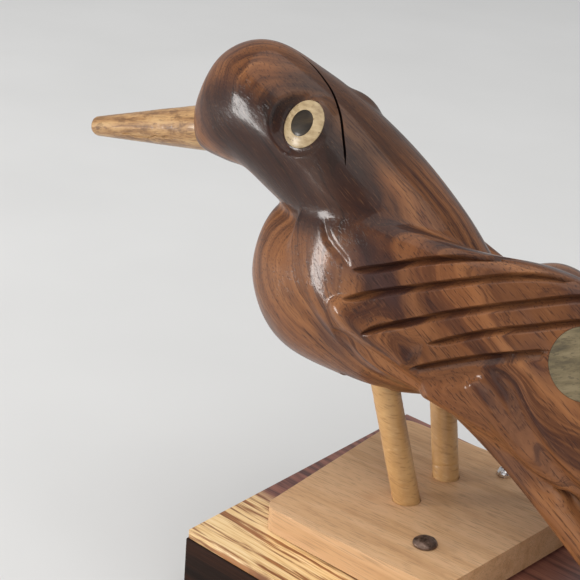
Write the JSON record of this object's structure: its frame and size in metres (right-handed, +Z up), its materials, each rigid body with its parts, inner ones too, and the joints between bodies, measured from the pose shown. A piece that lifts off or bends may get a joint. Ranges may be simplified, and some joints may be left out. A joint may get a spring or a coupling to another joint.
{
  "type": "carved dipping bird",
  "caption": "Carved and varnished hardwood bird that rocks forward on a hidden axle through the tops of its dowel legs, on a wedge foot plate and a box base.",
  "frame": {"origin": "centre of the base's flat underside", "axes": "+X the way the beak points, +Y the bird's left, +Z up"},
  "size_m": [0.2621, 0.11, 0.1674],
  "materials": {
    "striped_wood": "satin lacquer, pale wood with brown streaks and a purple-brown heart",
    "dark_rosewood": "satin lacquer, near-black wood with a faint grain",
    "plain_wood": "bare sanded softwood",
    "pale_wood": "thin satin oil, pale peach wood",
    "cane_wood": "bare cane with fine wrinkles",
    "horn_wood": "gloss varnish, mottled tan and brown",
    "rosewood": "gloss varnish, red-brown with dark bands",
    "pupil_wood": "gloss varnish, dark olive-brown",
    "bone": "gloss varnish over a pale inlay",
    "olive_wood": "gloss varnish over grey-green wood",
    "steel": "bright plated steel",
    "dark_iron": "dark rusty iron",
    "brass": "worn bright metal"
  },
  "bodies": {
    "stand": {"base_top": "striped_wood", "base_left_side": "dark_rosewood", "base_right_side": "dark_rosewood", "base_front": "dark_rosewood", "base_rear": "dark_rosewood", "base_bottom": "plain_wood", "corner_blocks": "plain_wood", "top_cleats": "plain_wood", "bottom_screws": "steel", "foot_plate": "pale_wood", "left_leg": "cane_wood", "right_leg": "cane_wood", "plate_tack": "dark_iron", "plate_screw": "steel"},
    "bird": {"bird_body": "rosewood", "beak": "horn_wood", "beak_pin": "brass", "left_eye_ring": "bone", "right_eye_ring": "bone", "left_pupil": "pupil_wood", "right_pupil": "pupil_wood", "left_flank_inlay": "olive_wood", "right_flank_inlay": "olive_wood", "axle": "steel", "axle_plug": "rosewood"}
  },
  "joints": [
    {"name": "dip", "type": "hinge", "parent": "stand", "child": "bird", "pos_m": [0.04396, -0.006, 0.09], "axis": [0, 1, 0], "range_deg": [0, 45]}
  ]
}
